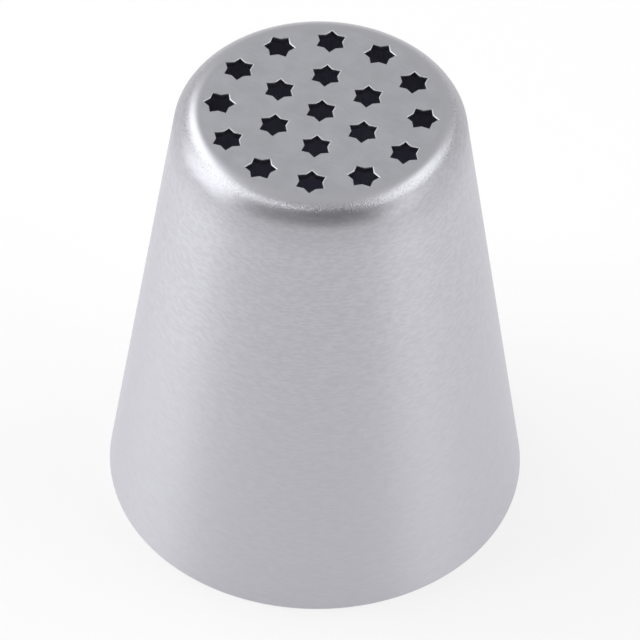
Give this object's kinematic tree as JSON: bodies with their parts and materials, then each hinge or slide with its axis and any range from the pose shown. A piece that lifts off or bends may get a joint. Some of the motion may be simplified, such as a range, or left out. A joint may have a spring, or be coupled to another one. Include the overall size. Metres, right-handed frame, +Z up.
{
  "type": "piping nozzle",
  "caption": "Tapered sheet-steel piping nozzle, open at its wide mouth, with a flat end punched full of small star holes that pipe a bunch of fine strands.",
  "frame": {"origin": "middle of the open mouth, in the plane of the rim that the nozzle stands on", "axes": "+Z up the nozzle's axis towards the flat star end; -Y is the front, where one hole of each ring lies straight ahead; +X to the right"},
  "size_m": [0.034, 0.034, 0.0395],
  "materials": {
    "stainless_steel": "satin stainless steel, brushed round the axis on the side and shoulder and finely ground on the flat end"
  },
  "bodies": {
    "root": {"nozzle_shell": "stainless_steel"}
  },
  "joints": []
}
